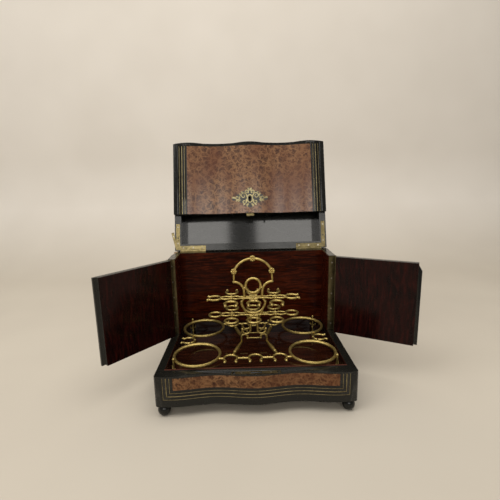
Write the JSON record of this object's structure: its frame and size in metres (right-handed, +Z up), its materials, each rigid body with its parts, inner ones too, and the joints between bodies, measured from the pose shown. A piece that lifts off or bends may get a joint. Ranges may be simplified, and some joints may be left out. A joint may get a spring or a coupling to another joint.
{
  "type": "tantalus",
  "caption": "Antique drinks chest on bun feet, open: hinged lid with folding front panel, two side doors, and a lift-out gilt rack with rings and hooks for decanters and glasses.",
  "frame": {"origin": "on the table, under the middle of the tray between the four feet", "axes": "+X to the right as seen from the front, +Y to the back, +Z up"},
  "size_m": [0.5654, 0.3605, 0.4622],
  "materials": {
    "ebonised_wood": "polished black with grey sheen at the edges",
    "softwood": "bare",
    "rosewood": "french polished",
    "grey_polish": "worn dark polish",
    "burr_veneer": "french polished",
    "brass_inlay": "flush and worn",
    "dull_brass": "tarnished",
    "gilt_brass": "worn gilding",
    "steel": "dull"
  },
  "bodies": {
    "case": {"front_rail": "ebonised_wood", "base_rails": "ebonised_wood", "bottom_board": "ebonised_wood", "floor_bearers": "softwood", "tray_board": "rosewood", "tray_lining": "rosewood", "base_burr": "burr_veneer", "base_stringing": "brass_inlay", "feet": "ebonised_wood", "back_board": "ebonised_wood", "compartment_lining": "rosewood", "left_return": "ebonised_wood", "right_return": "ebonised_wood", "left_fixed_leaf": "dull_brass", "right_fixed_leaf": "dull_brass", "hinge_pins": "steel", "lid_hinge_case_leaves": "dull_brass", "strike_plate": "dull_brass", "case_screws": "steel"},
    "lid": {"lid_rails": "ebonised_wood", "lid_board": "ebonised_wood", "lid_lining": "grey_polish", "lid_burr": "burr_veneer", "lid_stringing": "brass_inlay", "lid_hinge_plates": "dull_brass", "loose_hinge_arm": "dull_brass", "panel_hinge_lid_leaves": "dull_brass", "panel_hinge_pins": "steel", "lid_screws": "steel"},
    "panel": {"front_panel": "ebonised_wood", "panel_burr": "burr_veneer", "panel_stringing": "brass_inlay", "escutcheon": "brass_inlay", "lock_case": "dull_brass", "locating_pins": "steel", "panel_hinge_leaves": "dull_brass", "panel_screws": "steel"},
    "bolt": {"lock_bolt": "dull_brass"},
    "left_side_door": {"left_door": "ebonised_wood", "left_door_lining": "rosewood", "left_door_leaf": "dull_brass", "left_door_screws": "steel"},
    "right_side_door": {"right_door": "ebonised_wood", "right_door_lining": "rosewood", "right_door_leaf": "dull_brass", "right_door_screws": "steel"},
    "rack": {"front_decanter_rings": "gilt_brass", "back_decanter_rings": "gilt_brass", "front_hook_bar": "gilt_brass", "back_hook_bar": "gilt_brass", "side_hooks": "gilt_brass", "rack_stand": "gilt_brass", "lower_tier_left": "gilt_brass", "lower_tier_centre": "gilt_brass", "lower_tier_right": "gilt_brass", "upper_tier_left": "gilt_brass", "upper_tier_centre": "gilt_brass", "upper_tier_right": "gilt_brass", "rack_handle": "gilt_brass", "rack_legs": "gilt_brass"}
  },
  "joints": [
    {"name": "lid_hinge", "type": "hinge", "parent": "case", "child": "lid", "pos_m": [0, 0.12145, 0.2293], "axis": [-1, 0, 0], "range_deg": [-105.5, 0]},
    {"name": "front_panel_hinge", "type": "hinge", "parent": "lid", "child": "panel", "pos_m": [0, 0.17963, 0.45257], "axis": [-1, 0, 0], "range_deg": [0, 90]},
    {"name": "lock_bolt", "type": "slide", "parent": "panel", "child": "bolt", "axis": [0, 0.2672, 0.9636], "range_m": [0, 0.0055]},
    {"name": "left_door_hinge", "type": "hinge", "parent": "case", "child": "left_side_door", "pos_m": [-0.1659, 0.04225, 0.1513], "axis": [0, 0, -1], "range_deg": [-40, 70]},
    {"name": "right_door_hinge", "type": "hinge", "parent": "case", "child": "right_side_door", "pos_m": [0.1659, 0.04225, 0.1513], "axis": [0, 0, 1], "range_deg": [-62, 48]},
    {"name": "rack_lift", "type": "slide", "parent": "case", "child": "rack", "axis": [0, 0, 1], "range_m": [0, 0.3]}
  ],
  "couplings": [
    {"joint": "front_panel_hinge", "follows": "lid_hinge", "ratio": -0.85308}
  ]
}
